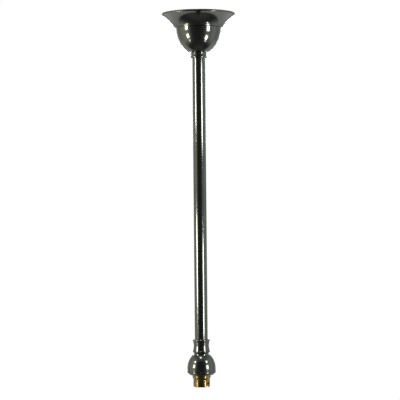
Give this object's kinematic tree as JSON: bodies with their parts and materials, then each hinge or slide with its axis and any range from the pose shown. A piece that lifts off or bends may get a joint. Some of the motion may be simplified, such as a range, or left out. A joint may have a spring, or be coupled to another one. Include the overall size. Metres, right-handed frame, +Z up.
{
  "type": "rod pendant light suspension",
  "caption": "Rod pendant suspension: flared ceiling cup, straight tube, turned collar and domed cover over a brass bayonet lampholder, with wiring and spring contacts inside.",
  "frame": {"origin": "on the tube's axis, in the ceiling plane against which the bracket's feet and the cup's rim bear", "axes": "+Z up along the tube, towards the ceiling; -Y is the front, +X to the right seen from the front"},
  "size_m": [0.1086, 0.1086, 0.552],
  "materials": {
    "dark_nickel": "dark polished nickel plating over brass",
    "brass": "polished, unlacquered brass",
    "zinc_steel": "zinc-plated steel",
    "spring_steel": "bright spring wire",
    "porcelain": "glazed white porcelain",
    "polyamide": "moulded white polyamide",
    "brown_sleeve": "brown wire insulation",
    "blue_sleeve": "blue wire insulation",
    "earth_sleeve": "green and yellow wire insulation"
  },
  "bodies": {
    "suspension": {"ceiling_bracket": "zinc_steel", "top_nipple": "brass", "nut_above": "brass", "star_washer": "zinc_steel", "nut_below": "brass", "rod_lock_nut": "brass", "tube_top_bush": "brass", "terminal_block": "polyamide", "block_screw": "zinc_steel", "bracket_earth_screw": "brass", "earth_washer": "brass", "rod_tube": "dark_nickel", "lower_collar": "dark_nickel", "tube_bottom_bush": "brass", "lower_nipple": "brass", "dome_cover": "dark_nickel", "cover_nut": "brass", "holder_cap": "brass", "holder_barrel": "brass", "insulator_core": "porcelain", "holder_earth_screw": "zinc_steel", "holder_earth_tag": "brass", "live_wire": "brown_sleeve", "neutral_wire": "blue_sleeve", "earth_wire": "earth_sleeve", "way_insert_1": "brass", "clamp_screw_1_1": "zinc_steel", "clamp_screw_1_2": "zinc_steel", "way_insert_2": "brass", "clamp_screw_2_1": "zinc_steel", "clamp_screw_2_2": "zinc_steel", "way_insert_3": "brass", "clamp_screw_3_1": "zinc_steel", "clamp_screw_3_2": "zinc_steel", "contact_post_1": "brass", "contact_screw_1": "zinc_steel", "contact_spring_1": "spring_steel", "contact_post_2": "brass", "contact_screw_2": "zinc_steel", "contact_spring_2": "spring_steel"},
    "cup": {"ceiling_cup": "dark_nickel", "slip_collar": "dark_nickel"},
    "set_screw": {"collar_set_screw": "zinc_steel"},
    "ring": {"closing_ring": "dark_nickel"},
    "plunger_1": {"contact_plunger_1": "brass"},
    "plunger_2": {"contact_plunger_2": "brass"}
  },
  "joints": [
    {"name": "cup_slide", "type": "slide", "parent": "suspension", "child": "cup", "axis": [0, 0, -1], "range_m": [0, 0.41]},
    {"name": "set_screw_turn", "type": "hinge", "parent": "cup", "child": "set_screw", "pos_m": [0, 0.0107, -0.061], "axis": [0, 1, 0], "range_deg": [0, 540]},
    {"name": "ring_turn", "type": "hinge", "parent": "suspension", "child": "ring", "pos_m": [0, 0, -0.532], "axis": [0, 0, -1], "range_deg": [0, 720]},
    {"name": "plunger_1_push", "type": "slide", "parent": "suspension", "child": "plunger_1", "axis": [0, 0, 1], "range_m": [0, 0.0035], "stiffness_N_per_m": 600, "springref_m": -0.0015, "deforming": ["contact_spring_1"]},
    {"name": "plunger_2_push", "type": "slide", "parent": "suspension", "child": "plunger_2", "axis": [0, 0, 1], "range_m": [0, 0.0035], "stiffness_N_per_m": 600, "springref_m": -0.0015, "deforming": ["contact_spring_2"]}
  ]
}
